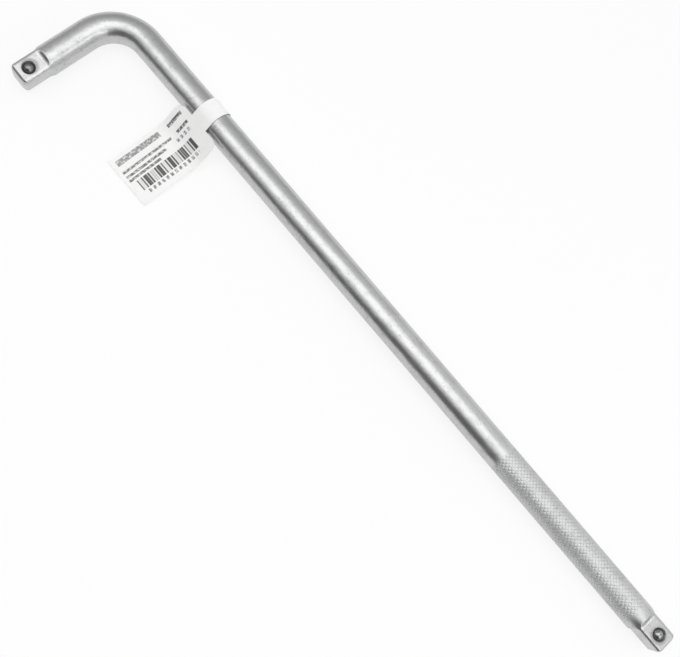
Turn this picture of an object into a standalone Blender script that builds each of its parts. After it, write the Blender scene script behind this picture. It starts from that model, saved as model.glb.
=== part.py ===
"""L-shaped socket wrench handle: a bent round bar with a male square drive at each end.

The bar is one piece of steel. Each drive holds a ball on a spring, the long arm has a
diamond-knurled grip, and a folded paper tag is looped round the long arm near the bend.

Metres, +Z up. The long arm runs along +X and the short arm along -Y. The world origin is
on the ground, in the middle of the outline. Meshes of the bar and the tag are drawn from
the corner, which is where the two centre lines cross.
"""
import math

import bmesh
import bpy
from mathutils import Matrix, Vector

# Bar, bent once
OVERALL_LENGTH = 0.450  # outside of the short arm to the tip of the long arm
SHORT_REACH = 0.0757  # outside of the long arm to the tip of the short arm
BAR_DIAMETER = 0.0165
BEND_RADIUS = 0.023  # of the centre line
BEND_STEPS = 12

# Square drives, milled on the bar's own ends
DRIVE_SQUARE = 0.0127  # across flats
DRIVE_FLAT_LENGTH = 0.0158  # tip to where the flat starts to climb
DRIVE_RUNOUT_RADIUS = 0.002  # of the climb back to the round bar
DRIVE_RUNOUT_STEPS = 4
TIP_CHAMFER = 0.0021  # along and across, where the flats meet the tip
TIP_CORNER_DEPTH = 0.0033  # turned off the bar's radius over the same length
SHORT_DRIVE_TURN = math.radians(10)  # of the short square about its arm, towards the long arm's tip
LONG_DRIVE_TURN = 0.0

# Diamond knurl on the grip
KNURL_STARTS = 18  # grooves round the bar in each hand
KNURL_PITCH = 0.0023  # along the bar
KNURL_DEPTH = 0.0002
KNURL_LENGTH = 0.1035
KNURL_FROM_TIP = 0.0233

# Ball detent in each drive
BALL_DIAMETER = 0.006
BALL_FROM_TIP = 0.0074
MOUTH_DIAMETER = 0.0074  # of the dished ring staked round the ball
LIP_DEPTH = 0.0009  # of the lip below the flat
LIP_BITE = 0.00015  # the lip's radius is this much less than the ball's
LIP_CLEARANCE = 0.00005
BORE_CLEARANCE = 0.0001
BORE_DEPTH = 0.009  # flat to the edge of the drill point
DRILL_POINT_ANGLE = math.radians(118)
POCKET_STEPS = 32

# Spring under each ball
SPRING_WIRE = 0.0006
SPRING_DIAMETER = 0.0038  # of the wire's centre line
SPRING_TURNS = 4
SPRING_CLEARANCE = 0.0001
SPRING_STEPS = 16  # in one turn
WIRE_SIDES = 8

# Folded paper tag
TAG_FROM_END = 0.08525  # outside of the short arm to the middle of the tag
TAG_PAPER = 0.00025
TAG_CLEARANCE = 0.0003  # bar to paper
TAG_NECK_WIDTH = 0.0114
TAG_LEAF_WIDTH = 0.031
TAG_SHOULDER = 0.0088  # centre line to where the neck widens into the leaf
TAG_PINCH = 0.012  # centre line to where the two leaves meet
TAG_PINCH_RISE = 0.0017
TAG_CREASE = 0.022  # centre line to where the double sheet bends towards the ground
TAG_CREASE_DROP = 0.006
TAG_REACH = 0.0576  # centre line to the outer edge
TAG_STEPS = 28

# What follows from the sizes above
BAR_RADIUS = BAR_DIAMETER / 2
LOOP_RADIUS = BAR_RADIUS + TAG_CLEARANCE + TAG_PAPER
LONG_ARM = OVERALL_LENGTH - BAR_RADIUS
SHORT_ARM = SHORT_REACH - BAR_RADIUS
CORNER = Vector((BAR_RADIUS - OVERALL_LENGTH / 2, (SHORT_ARM - LOOP_RADIUS) / 2, LOOP_RADIUS))
BALL_RADIUS = BALL_DIAMETER / 2
LIP_RADIUS = BALL_RADIUS - LIP_BITE
BORE_RADIUS = BALL_RADIUS + BORE_CLEARANCE
BALL_DEPTH = LIP_DEPTH + math.sqrt(BALL_RADIUS**2 - (LIP_RADIUS - LIP_CLEARANCE) ** 2)
UP = Vector((0, 0, 1))
LONG_WAY = Vector((1, 0, 0))
SHORT_WAY = Vector((0, -1, 0))


def clear_scene():
    for thing in list(bpy.data.objects):
        bpy.data.objects.remove(thing, do_unlink=True)


def make_material(name, colour, metallic, roughness):
    material = bpy.data.materials.new(name)
    material.use_nodes = True
    shader = material.node_tree.nodes["Principled BSDF"]
    shader.inputs["Base Color"].default_value = (*colour, 1)
    shader.inputs["Metallic"].default_value = metallic
    shader.inputs["Roughness"].default_value = roughness
    return material


def make_object(name, bm, location, smooth_angle=None):
    """Turn a bmesh into an object, smooth where its faces meet at less than smooth_angle."""
    bmesh.ops.recalc_face_normals(bm, faces=bm.faces)
    mesh = bpy.data.meshes.new(name)
    bm.to_mesh(mesh)
    bm.free()
    if smooth_angle is not None:
        mesh.polygons.foreach_set("use_smooth", [True] * len(mesh.polygons))
        mesh.set_sharp_from_angle(angle=smooth_angle)
    thing = bpy.data.objects.new(name, mesh)
    thing.location = location
    bpy.context.scene.collection.objects.link(thing)
    return thing


def loft(rings, heights=None):
    """Skin a row of rings and close both ends.

    Where heights are given, each quad is split along its lower diagonal, so grooves stay open.
    """
    bm = bmesh.new()
    rows = [[bm.verts.new(point) for point in ring] for ring in rings]
    count = len(rows[0])
    for i in range(len(rows) - 1):
        for k in range(count):
            n = (k + 1) % count
            a, b, c, d = rows[i][k], rows[i][n], rows[i + 1][n], rows[i + 1][k]
            rise = 0.0
            if heights:
                rise = heights[i][k] + heights[i + 1][n] - heights[i][n] - heights[i + 1][k]
            if abs(rise) < 1e-9:
                bm.faces.new((a, b, c, d))
            elif rise > 0:
                bm.faces.new((a, b, d))
                bm.faces.new((b, c, d))
            else:
                bm.faces.new((a, b, c))
                bm.faces.new((a, c, d))
    bm.faces.new(reversed(rows[0]))
    bm.faces.new(rows[-1])
    return bm


def lathe(profile, steps, closed=False, phase=0.0):
    """Spin a profile of (radius, height) about Z. An open profile starts and ends on the axis."""
    bm = bmesh.new()
    verts = [bm.verts.new((r * math.cos(phase), r * math.sin(phase), z)) for r, z in profile]
    pairs = list(zip(verts, verts[1:]))
    if closed:
        pairs.append((verts[-1], verts[0]))
    edges = [bm.edges.new(pair) for pair in pairs]
    bmesh.ops.spin(
        bm, geom=verts + edges, axis=UP, cent=(0, 0, 0), angle=math.tau, steps=steps, use_merge=True
    )
    bmesh.ops.remove_doubles(bm, verts=bm.verts, dist=1e-7)
    return bm


def cut(target, cutter):
    cutter.hide_render = True
    cutter.display_type = "WIRE"
    modifier = target.modifiers.new(cutter.name, "BOOLEAN")
    modifier.operation = "DIFFERENCE"
    modifier.solver = "EXACT"
    modifier.object = cutter


def bar_rings():
    """List the bar's cross-sections from the short tip to the long tip, with their radii."""
    sides = 2 * KNURL_STARTS
    rings, heights = [], []

    def add(centre, tangent, radii):
        side = tangent.cross(UP)
        ring = []
        for k, radius in enumerate(radii):
            angle = math.tau * (k + 0.5) / sides
            ring.append(centre + radius * (math.cos(angle) * side + math.sin(angle) * UP))
        rings.append(ring)
        heights.append(radii)

    plain = [BAR_RADIUS] * sides
    tip = [BAR_RADIUS - TIP_CORNER_DEPTH] * sides

    add(SHORT_ARM * SHORT_WAY, -SHORT_WAY, tip)
    add((SHORT_ARM - TIP_CHAMFER) * SHORT_WAY, -SHORT_WAY, plain)

    bend_centre = BEND_RADIUS * (LONG_WAY + SHORT_WAY)
    for i in range(BEND_STEPS + 1):
        turn = math.pi / 2 * i / BEND_STEPS
        tangent = math.sin(turn) * LONG_WAY - math.cos(turn) * SHORT_WAY
        outward = -math.cos(turn) * LONG_WAY - math.sin(turn) * SHORT_WAY
        add(bend_centre + BEND_RADIUS * outward, tangent, plain)

    # Crests and valleys alternate round each ring and from ring to ring, so the valleys
    # join into two sets of helical grooves that cross.
    step = KNURL_PITCH / 2
    rows = 2 * round(KNURL_LENGTH / KNURL_PITCH)
    start = LONG_ARM - KNURL_FROM_TIP - rows * step
    add((start - step) * LONG_WAY, LONG_WAY, plain)
    for j in range(rows + 1):
        radii = [BAR_RADIUS - KNURL_DEPTH * ((j + k) % 2) for k in range(sides)]
        add((start + j * step) * LONG_WAY, LONG_WAY, radii)
    add((start + (rows + 1) * step) * LONG_WAY, LONG_WAY, plain)

    add((LONG_ARM - TIP_CHAMFER) * LONG_WAY, LONG_WAY, plain)
    add(LONG_ARM * LONG_WAY, LONG_WAY, tip)
    return rings, heights


def flats_cutter(name, reach, outward, top):
    """A square frame that mills one drive's four flats, their runout and the chamfer at the tip."""
    apothem = DRIVE_SQUARE / 2
    beyond = (apothem - TIP_CHAMFER) / 2
    profile = [(apothem - TIP_CHAMFER - beyond, beyond), (apothem, -TIP_CHAMFER)]
    for i in range(DRIVE_RUNOUT_STEPS + 1):
        climb = math.pi / 2 * i / DRIVE_RUNOUT_STEPS
        radius = apothem + DRIVE_RUNOUT_RADIUS * (1 - math.cos(climb))
        profile.append((radius, -DRIVE_FLAT_LENGTH - DRIVE_RUNOUT_RADIUS * math.sin(climb)))
    outside = max(BAR_DIAMETER, apothem + 2 * DRIVE_RUNOUT_RADIUS)
    profile += [(outside, profile[-1][1]), (outside, beyond)]
    diagonal = math.sqrt(2)
    bm = lathe([(r * diagonal, z) for r, z in profile], 4, closed=True, phase=math.pi / 4)
    across = top.cross(outward)
    frame = Matrix((across, top, outward)).transposed().to_4x4()
    bmesh.ops.transform(bm, matrix=frame, verts=bm.verts)
    return make_object(name, bm, CORNER + reach * outward)


def flat_point(reach, outward, top):
    """The point on a drive's upper flat that is right over its ball."""
    return CORNER + (reach - BALL_FROM_TIP) * outward + DRIVE_SQUARE / 2 * top


def pocket_cutter(name, place, lean):
    """The drilled hole with its dished mouth, the lip that keeps the ball in, and the drill point."""
    mouth_radius = MOUTH_DIAMETER / 2
    above = LIP_DEPTH
    flare = (mouth_radius - LIP_RADIUS) / LIP_DEPTH
    point_depth = BORE_DEPTH + BORE_RADIUS / math.tan(DRILL_POINT_ANGLE / 2)
    profile = [
        (0, above),
        (mouth_radius + flare * above, above),
        (LIP_RADIUS, -LIP_DEPTH),
        (BORE_RADIUS, -LIP_DEPTH - 2 * (BORE_RADIUS - LIP_RADIUS)),
        (BORE_RADIUS, -BORE_DEPTH),
        (0, -point_depth),
    ]
    bm = lathe(profile, POCKET_STEPS)
    bmesh.ops.transform(bm, matrix=lean, verts=bm.verts)
    return make_object(name, bm, place)


def make_ball(name, place, lean):
    bm = bmesh.new()
    bmesh.ops.create_uvsphere(bm, u_segments=24, v_segments=16, radius=BALL_RADIUS)
    bmesh.ops.transform(bm, matrix=lean, verts=bm.verts)
    return make_object(name, bm, place - BALL_DEPTH * (lean @ UP), math.radians(60))


def make_spring(name, place, lean):
    """An open-wound spring from the drill point up to the ball."""
    radius = SPRING_DIAMETER / 2
    wire = SPRING_WIRE / 2
    half_point = DRILL_POINT_ANGLE / 2
    cone_depth = BORE_DEPTH + (BORE_RADIUS - radius) / math.tan(half_point)
    foot = cone_depth - (wire + SPRING_CLEARANCE) / math.sin(half_point)
    head = BALL_DEPTH + math.sqrt((BALL_RADIUS + wire + SPRING_CLEARANCE) ** 2 - radius**2)
    length = foot - head
    pitch = length / SPRING_TURNS
    slope = math.atan2(pitch, math.tau * radius)
    rings = []
    count = SPRING_TURNS * SPRING_STEPS
    for i in range(count + 1):
        turn = math.tau * i / SPRING_STEPS
        radial = Vector((math.cos(turn), math.sin(turn), 0))
        along = Vector((-math.sin(turn), math.cos(turn), 0))
        across = math.cos(slope) * UP - math.sin(slope) * along
        centre = radius * radial + length * i / count * UP
        ring = []
        for k in range(WIRE_SIDES):
            angle = math.tau * k / WIRE_SIDES
            ring.append(centre + wire * (math.cos(angle) * radial + math.sin(angle) * across))
        rings.append(ring)
    bm = loft(rings)
    bmesh.ops.transform(bm, matrix=lean, verts=bm.verts)
    where = place - foot * (lean @ UP)
    lowest = where.z + min(vert.co.z for vert in bm.verts)
    print(f"{name}: {1000 * length:.2f} mm, least gap {1000 * (pitch * math.cos(slope) - SPRING_WIRE):.2f} mm")
    print(f"{name}: lowest point {1000 * lowest:.3f} mm above the ground")
    return make_object(name, bm, where, math.radians(60))


def tag_section():
    """Pairs of points across the paper, from one leaf's pinch round the bar to the other's.

    Points are (y, z) from the bar's centre line. The tail comes second: rows of three points across the
    double sheet, at the crease and at the outer edge.
    """
    inner = BAR_RADIUS + TAG_CLEARANCE
    pinch = Vector((-TAG_PINCH, TAG_PINCH_RISE))
    crease = Vector((-TAG_CREASE, -TAG_CREASE_DROP))
    edge = Vector((-TAG_REACH, 1.2 * TAG_PAPER - LOOP_RADIUS))

    def on_circle(radius, angle):
        return Vector((radius * math.cos(angle), radius * math.sin(angle)))

    def side(start, end):
        """Unit vector square to a line, to its right."""
        along = (end - start).normalized()
        return Vector((along.y, -along.x))

    def corner(point, first, second):
        """Outer point of a bend between two lines whose sides are given."""
        return point + TAG_PAPER * (first + second) / (1 + first.dot(second))

    middle = math.atan2(pinch.y, pinch.x) % math.tau
    spread = math.acos(inner / pinch.length)
    top = middle - spread
    low = middle + spread - math.tau
    arc = []
    for i in range(TAG_STEPS + 1):
        angle = top + (low - top) * i / TAG_STEPS
        arc.append((on_circle(LOOP_RADIUS, angle), on_circle(inner, angle)))

    above_loop = side(arc[0][1], pinch)
    above_slope = side(pinch, crease)
    above_tail = side(crease, edge)
    below_loop = side(pinch, arc[-1][1])
    upper = (corner(pinch, above_loop, above_slope), pinch)
    lower = (corner(pinch, below_loop, -above_slope), pinch)
    share = (TAG_SHOULDER + arc[0][0].x) / (arc[0][0].x - upper[0].x)
    shoulder = (arc[0][0].lerp(upper[0], share), arc[0][1].lerp(pinch, share))
    loop = [upper, shoulder, *arc, lower]
    bend = [corner(crease, above_slope, above_tail), crease, corner(crease, -above_slope, -above_tail)]
    lift = TAG_PAPER * above_tail
    return loop, [bend, [edge + lift, edge, edge - lift]]


def make_tag(name):
    """Draw the section flat, extrude the neck, then extrude the leaves from both its sides."""
    loop, tail = tag_section()
    middle = TAG_FROM_END - BAR_RADIUS
    left = middle - TAG_NECK_WIDTH / 2
    bm = bmesh.new()

    def vert(point):
        return bm.verts.new((left, point.x, point.y))

    outers = [vert(outer) for outer, inner in loop]
    inners = [vert(inner) for outer, inner in loop[:-1]]
    inners.append(inners[0])
    rows = [[outers[0], inners[0], outers[-1]]]
    rows += [[vert(point) for point in row] for row in tail]
    for i in range(len(loop) - 1):
        bm.faces.new((outers[i], outers[i + 1], inners[i + 1], inners[i]))
    for near_row, far_row in zip(rows, rows[1:]):
        for i in range(2):
            bm.faces.new((far_row[i], near_row[i], near_row[i + 1], far_row[i + 1]))

    def widen(faces, distance, keep):
        made = bmesh.ops.extrude_face_region(bm, geom=faces, use_keep_orig=keep)["geom"]
        moved = [item for item in made if isinstance(item, bmesh.types.BMVert)]
        bmesh.ops.translate(bm, verts=moved, vec=(distance, 0, 0))
        return [item for item in made if isinstance(item, bmesh.types.BMFace)]

    def leaves(faces):
        return [face for face in faces if max(corner.co.y for corner in face.verts) < TAG_PAPER - TAG_SHOULDER]

    near = list(bm.faces)
    far = widen(near, TAG_NECK_WIDTH, True)
    wing = (TAG_LEAF_WIDTH - TAG_NECK_WIDTH) / 2
    for faces, distance in ((near, -wing), (far, wing)):
        chosen = leaves(faces)
        widen(chosen, distance, False)
        bmesh.ops.delete(bm, geom=[face for face in chosen if face.is_valid], context="FACES_ONLY")
    return make_object(name, bm, CORNER)


clear_scene()
chrome = make_material("chrome_plate", (0.78, 0.79, 0.80), 1.0, 0.16)
bearing = make_material("bearing_steel", (0.60, 0.60, 0.61), 1.0, 0.12)
spring_steel = make_material("spring_steel", (0.42, 0.42, 0.43), 1.0, 0.35)
paper = make_material("white_paper", (0.88, 0.88, 0.86), 0.0, 0.7)

bar_sections, bar_heights = bar_rings()
l_bar = make_object("l_bar", loft(bar_sections, bar_heights), CORNER, math.radians(30))
l_bar.data.materials.append(chrome)

for end, reach, outward, turn in (
    ("short", SHORT_ARM, SHORT_WAY, SHORT_DRIVE_TURN),
    ("long", LONG_ARM, LONG_WAY, LONG_DRIVE_TURN),
):
    lean = Matrix.Rotation(turn, 4, -outward)
    top = lean @ UP
    place = flat_point(reach, outward, top)
    cut(l_bar, flats_cutter(f"{end}_flats_cutter", reach, outward, top))
    cut(l_bar, pocket_cutter(f"{end}_pocket_cutter", place, lean))
    ball = make_ball(f"{end}_drive_ball", place, lean)
    ball.data.materials.append(bearing)
    spring = make_spring(f"{end}_drive_spring", place, lean)
    spring.data.materials.append(spring_steel)

hang_tag = make_tag("hang_tag")
hang_tag.data.materials.append(paper)

print(f"balls stand {1000 * (BALL_RADIUS - BALL_DEPTH):.3f} mm out of the flats")
for thing in bpy.data.objects:
    if not thing.hide_render:
        print(thing.name, [round(1000 * value, 3) for value in thing.location])
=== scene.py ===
# %% [markdown]
# # An L-shaped drive handle
#
# The object is one round steel bar, bent square once and plated with satin chrome. Each end is milled
# into a male square that a socket slides onto, and a sprung ball in the square keeps the socket there.
# The long arm has a diamond-knurled grip, and a folded paper tag is looped round it near the bend.
#
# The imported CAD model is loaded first. It fixes where everything is. Each step below then makes one
# piece of the visible model, finer than its CAD solid but in the same place.

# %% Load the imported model
import math

import bmesh
import bpy
from mathutils import Matrix, Vector


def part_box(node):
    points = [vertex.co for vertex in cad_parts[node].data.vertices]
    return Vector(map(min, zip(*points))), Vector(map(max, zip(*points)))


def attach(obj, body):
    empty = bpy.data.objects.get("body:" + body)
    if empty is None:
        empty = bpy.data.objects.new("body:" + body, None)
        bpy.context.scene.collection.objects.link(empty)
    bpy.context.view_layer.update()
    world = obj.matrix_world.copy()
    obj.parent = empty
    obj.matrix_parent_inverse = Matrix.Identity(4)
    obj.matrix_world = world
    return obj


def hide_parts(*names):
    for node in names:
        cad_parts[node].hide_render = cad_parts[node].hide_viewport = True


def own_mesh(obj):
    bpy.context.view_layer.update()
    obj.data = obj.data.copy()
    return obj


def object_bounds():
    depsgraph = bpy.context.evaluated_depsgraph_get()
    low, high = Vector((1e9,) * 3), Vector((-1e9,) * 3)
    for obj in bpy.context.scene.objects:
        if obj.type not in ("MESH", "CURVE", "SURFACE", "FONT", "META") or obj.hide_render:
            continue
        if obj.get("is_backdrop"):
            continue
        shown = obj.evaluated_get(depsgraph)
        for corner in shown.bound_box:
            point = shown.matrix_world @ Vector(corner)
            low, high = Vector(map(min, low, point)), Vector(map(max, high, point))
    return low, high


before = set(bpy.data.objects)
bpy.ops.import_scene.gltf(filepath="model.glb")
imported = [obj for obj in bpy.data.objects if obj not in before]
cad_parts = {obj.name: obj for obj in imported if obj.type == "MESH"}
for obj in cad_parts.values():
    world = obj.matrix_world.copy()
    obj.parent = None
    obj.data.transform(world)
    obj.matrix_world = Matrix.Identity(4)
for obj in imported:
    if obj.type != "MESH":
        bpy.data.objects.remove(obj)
cad_low, cad_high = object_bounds()
print("CAD box in mm:", [round(1000 * value, 1) for value in cad_high - cad_low])

# %% [markdown]
# ## Sizes
#
# All sizes are real ones in metres. The corner is the point where the centre lines of the two arms
# cross. The long arm runs from there along +X, the short arm along -Y, and +Z is up.

# %% Sizes of the bar
MM = 0.001
UP = Vector((0, 0, 1))
LONG_WAY = Vector((1, 0, 0))
SHORT_WAY = Vector((0, -1, 0))

BAR_RADIUS = 8.25 * MM
BEND_RADIUS = 23 * MM
CORNER = Vector((-216.75 * MM, 29.325 * MM, 8.8 * MM))
bar_low, bar_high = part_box("l_bar")
LONG_ARM = bar_high.x - CORNER.x
SHORT_ARM = CORNER.y - bar_low.y
print(f"long arm {LONG_ARM / MM:.2f} mm, short arm {SHORT_ARM / MM:.2f} mm from the corner")

# %% [markdown]
# ## The centre line
#
# The bar could be a curve with a bevel, but a curve has the same section all along. Here the section
# changes from square to round to knurled, so the bar is a loft: a row of rings, one for each place
# along the centre line, with a skin between them. This cell turns a distance along the bar, from the
# tip of the short arm, into a point and a direction.

# %% Walk along the centre line
SHORT_STRAIGHT = SHORT_ARM - BEND_RADIUS
BEND_LENGTH = BEND_RADIUS * math.pi / 2
BAR_LENGTH = SHORT_STRAIGHT + BEND_LENGTH + LONG_ARM - BEND_RADIUS


def place_along(along):
    """Centre and direction of the bar at a distance from the short tip."""
    if along <= SHORT_STRAIGHT:
        return CORNER + (SHORT_ARM - along) * SHORT_WAY, -SHORT_WAY
    if along >= SHORT_STRAIGHT + BEND_LENGTH:
        return CORNER + (LONG_ARM - BAR_LENGTH + along) * LONG_WAY, LONG_WAY
    turn = (along - SHORT_STRAIGHT) / BEND_RADIUS
    outward = -math.cos(turn) * LONG_WAY - math.sin(turn) * SHORT_WAY
    heading = math.sin(turn) * LONG_WAY - math.cos(turn) * SHORT_WAY
    return CORNER + BEND_RADIUS * (LONG_WAY + SHORT_WAY + outward), heading


print(f"the bar is {BAR_LENGTH / MM:.1f} mm long along its centre line")

# %% [markdown]
# ## The square drives
#
# A drive is milled from the round bar: four flats, 12.7 mm across, leave a sliver of the bar's own
# round at each corner, and the cutter's radius climbs back to the full bar at the shoulder. Booleans
# would leave razor edges that no plated tool has. Here every ring's radius is the softer minimum of
# the flat and the round, so each edge comes out slightly rounded, as plating leaves it. The points of
# a ring crowd together where the edges are. The short square isn't quite level: it is turned by ten
# degrees about its arm, so its upper flat leans towards the long arm's tip.

# %% Section of a drive
SHORT_TURN = math.radians(10)
LONG_TURN = 0.0
SHORT_LEAN = Matrix.Rotation(SHORT_TURN, 3, -SHORT_WAY)
LONG_LEAN = Matrix.Rotation(LONG_TURN, 3, -LONG_WAY)
SIDES = 144
QUARTER = SIDES // 4
HALF_SQUARE = 6.35 * MM
WINDOW_HALF = 4.2 * MM
WINDOW_STEPS = 16
EDGE_SOFTNESS = 0.6 * MM
CORNER_DEGREES = [35.6, 37.2, 38.1, 38.9, 39.5, 40.1, 40.8, 41.8, 43.3]


def soft_min(first, second, width):
    """The smaller of two sizes, with the step between them rounded over."""
    overlap = max(width - abs(first - second), 0) / width
    return min(first, second) - overlap * overlap * width / 4


def drive_angles():
    """Angles of a ring's points on a drive, even across the ball's window and crowded at the edges."""
    steps = WINDOW_STEPS // 2
    half = [math.atan(WINDOW_HALF * i / steps / HALF_SQUARE) for i in range(steps + 1)]
    half += [math.radians(value) for value in CORNER_DEGREES]
    quarter = [-math.pi / 4] + [-value for value in reversed(half[1:])] + half
    return [math.pi / 2 * side + value for side in range(4) for value in quarter]


DRIVE_ANGLES = drive_angles()
EVEN_ANGLES = [math.tau * k / SIDES - math.pi / 4 for k in range(SIDES)]


def section(angles, radius, half_width=None, turn=0.0):
    """Points (side, up) of a ring: a circle, cut by four flats if half_width is given, then turned."""
    points = []
    for angle in angles:
        distance = radius
        if half_width is not None:
            reach = half_width / max(abs(math.cos(angle)), abs(math.sin(angle)))
            distance = soft_min(reach, radius, EDGE_SOFTNESS)
        points.append((distance * math.cos(angle - turn), distance * math.sin(angle - turn)))
    return points


print(f"{len(DRIVE_ANGLES)} points in each ring")

# %% [markdown]
# From the tip inwards, a drive is an end face, a steep chamfer that tumbling has worn a little round,
# the flats, and the runout. A chamfer is given by its length, its inset at the tip and its roundness,
# and the two lists of depths are in millimetres.

# %% Rings of a drive, from the tip inwards
FLAT_CHAMFER = (1.9 * MM, 2.2 * MM, 1.5)
CORNER_CHAMFER = (2.3 * MM, 3.3 * MM, 1.9)
TIP_DEPTHS = [0, 0.03, 0.1, 0.2, 0.35, 0.55, 0.8, 1.05, 1.3, 1.5, 1.66, 1.78, 1.86, 1.94, 2.3, 2.8]
FLAT_DEPTHS = [12.3, 13.2, 14.1, 14.7]
FLAT_LENGTH = 15.0 * MM
RUNOUT_RADIUS = 3.1 * MM
RUNOUT_STEPS = 18
SHOULDER_STEP = 0.05 * MM
BALL_FROM_TIP = 7.4 * MM
CORNER_TRIM = 0.1 * MM


def chamfer(depth, length, inset, roundness):
    """How far a chamfer lies inside the full shape; a roundness of 1 is flat and 2 is an ellipse."""
    left = max(1 - depth / length, 0) ** roundness
    return inset * (1 - (1 - left) ** (1 / roundness))


def drive_rings():
    """Each ring is (distance from the tip, half width of the square, radius that trims its corners)."""
    flat_radius = BAR_RADIUS - CORNER_TRIM
    rings = []
    for millimetres in TIP_DEPTHS:
        depth = millimetres * MM
        width = HALF_SQUARE - chamfer(depth, *FLAT_CHAMFER)
        radius = flat_radius - chamfer(depth, *CORNER_CHAMFER)
        rings.append((depth, width, radius))
    for i in range(WINDOW_STEPS + 1):
        depth = BALL_FROM_TIP - WINDOW_HALF + 2 * WINDOW_HALF * i / WINDOW_STEPS
        rings.append((depth, HALF_SQUARE, flat_radius))
    for millimetres in FLAT_DEPTHS:
        rings.append((millimetres * MM, HALF_SQUARE, flat_radius))
    for i in range(RUNOUT_STEPS + 1):
        climb = math.pi / 2 * i / RUNOUT_STEPS
        width = HALF_SQUARE + RUNOUT_RADIUS * (1 - math.cos(climb))
        radius = BAR_RADIUS - CORNER_TRIM * (1 - math.sin(climb))
        rings.append((FLAT_LENGTH + RUNOUT_RADIUS * math.sin(climb), width, radius))
    shoulder = FLAT_LENGTH + RUNOUT_RADIUS + SHOULDER_STEP
    rings.append((shoulder, BAR_RADIUS + EDGE_SOFTNESS, BAR_RADIUS))
    return rings


DRIVE = drive_rings()
print(f"{len(DRIVE)} rings in each drive, {DRIVE[-1][0] / MM:.2f} mm from tip to shoulder")

# %% [markdown]
# ## The knurl
#
# A knurl is rolled into the bar by two wheels, which press crossing helical grooves and leave small
# pyramids. A bump map would look right from far away, but the outline would stay smooth and the grip
# would be lost in the exported mesh. So the pyramids are modelled: eight points to each pyramid round
# the bar and eight along it.

# %% Depth of the knurl at a point of the grip
KNURL_STARTS = 18
KNURL_PITCH = 2.3 * MM
KNURL_DEPTH = 0.15 * MM
KNURL_LENGTH = 103.5 * MM
KNURL_FROM_TIP = 23.3 * MM
KNURL_LAND = 0.5
KNURL_FADE_ROWS = 4
PYRAMID_ROWS = 8
KNURL_STEP = KNURL_PITCH / PYRAMID_ROWS
KNURL_ROWS = round(KNURL_LENGTH / KNURL_STEP)
KNURL_START = BAR_LENGTH - KNURL_FROM_TIP - KNURL_LENGTH


def groove_depth(row, angle):
    """0 on the land of a pyramid and 1 at the bottom of a groove."""
    round_way = angle * KNURL_STARTS / math.pi - 0.5
    long_way = 2 * row / PYRAMID_ROWS
    height = 1.0
    for helix in ((round_way + long_way) / 2, (round_way - long_way) / 2):
        height = min(height, 1 - 2 * abs(helix - round(helix)))
    return 1 - min(1, height / (1 - KNURL_LAND))


def knurl_section(row):
    """Points of one knurled ring and how deep each lies in a groove."""
    fade = min(1, min(row, KNURL_ROWS - row) / KNURL_FADE_ROWS)
    grooves = [fade * groove_depth(row, angle) for angle in EVEN_ANGLES]
    points = []
    for angle, groove in zip(EVEN_ANGLES, grooves):
        distance = BAR_RADIUS - KNURL_DEPTH * groove
        points.append((distance * math.cos(angle), distance * math.sin(angle)))
    return points, grooves


print(f"{KNURL_ROWS} knurled rings of {KNURL_STEP / MM:.3f} mm")

# %% [markdown]
# ## All rings of the bar
#
# The rings are listed from the short tip to the long tip. Between a drive and the plain bar the points
# slide from the crowded angles to even ones, which leaves the round shape as it is.

# %% List the rings
PLAIN_STEP = 6 * MM
BEND_STEPS = 48
SLIDE_STEPS = 6
SHORT_SLIDE = 5 * MM


def plain_rings(start, end):
    """Round rings between two places on the plain bar."""
    count = max(1, math.ceil((end - start) / PLAIN_STEP))
    places = [start + (end - start) * i / count for i in range(1, count)]
    return [(along, section(EVEN_ANGLES, BAR_RADIUS), [0.0] * SIDES) for along in places]


def slide_rings(start, end, turn):
    """Round rings whose points go from a drive's angles to even ones."""
    rings = []
    for i in range(SLIDE_STEPS):
        share = (i + 1) / SLIDE_STEPS
        angles = [a - turn + share * (b - a + turn) for a, b in zip(DRIVE_ANGLES, EVEN_ANGLES)]
        rings.append((start + share * (end - start), section(angles, BAR_RADIUS)))
    return rings


def bar_rings():
    """Each ring is (distance along the bar, its points, how deep each point lies in a groove)."""
    bare = [0.0] * SIDES
    circle = section(EVEN_ANGLES, BAR_RADIUS)
    shoulder = DRIVE[-1][0]
    rings = []
    for depth, width, radius in DRIVE:
        rings.append((depth, section(DRIVE_ANGLES, radius, width, SHORT_TURN), bare))
    for along, points in slide_rings(shoulder, shoulder + SHORT_SLIDE, SHORT_TURN):
        rings.append((along, points, bare))
    rings += plain_rings(shoulder + SHORT_SLIDE, SHORT_STRAIGHT)
    for i in range(BEND_STEPS + 1):
        rings.append((SHORT_STRAIGHT + BEND_LENGTH * i / BEND_STEPS, circle, bare))
    rings += plain_rings(SHORT_STRAIGHT + BEND_LENGTH, KNURL_START)
    for row in range(KNURL_ROWS + 1):
        rings.append((KNURL_START + KNURL_STEP * row, *knurl_section(row)))
    for distance, points in reversed(slide_rings(shoulder, KNURL_FROM_TIP, LONG_TURN)[:-1]):
        rings.append((BAR_LENGTH - distance, points, bare))
    for depth, width, radius in reversed(DRIVE):
        rings.append((BAR_LENGTH - depth, section(DRIVE_ANGLES, radius, width, LONG_TURN), bare))
    return rings


RINGS = bar_rings()
print(f"{len(RINGS)} rings in the bar")

# %% [markdown]
# ## Skinning the bar
#
# The skin is made in bmesh. Three things are written on the points for the materials to read later:
# where the point would be if the bar were straight, how deep it lies in a groove, and how far it is
# inside a ball's hole. A square window is left open in each upper flat. In the knurl each four-sided
# face is split along its lower diagonal, so the grooves stay open.

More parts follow.
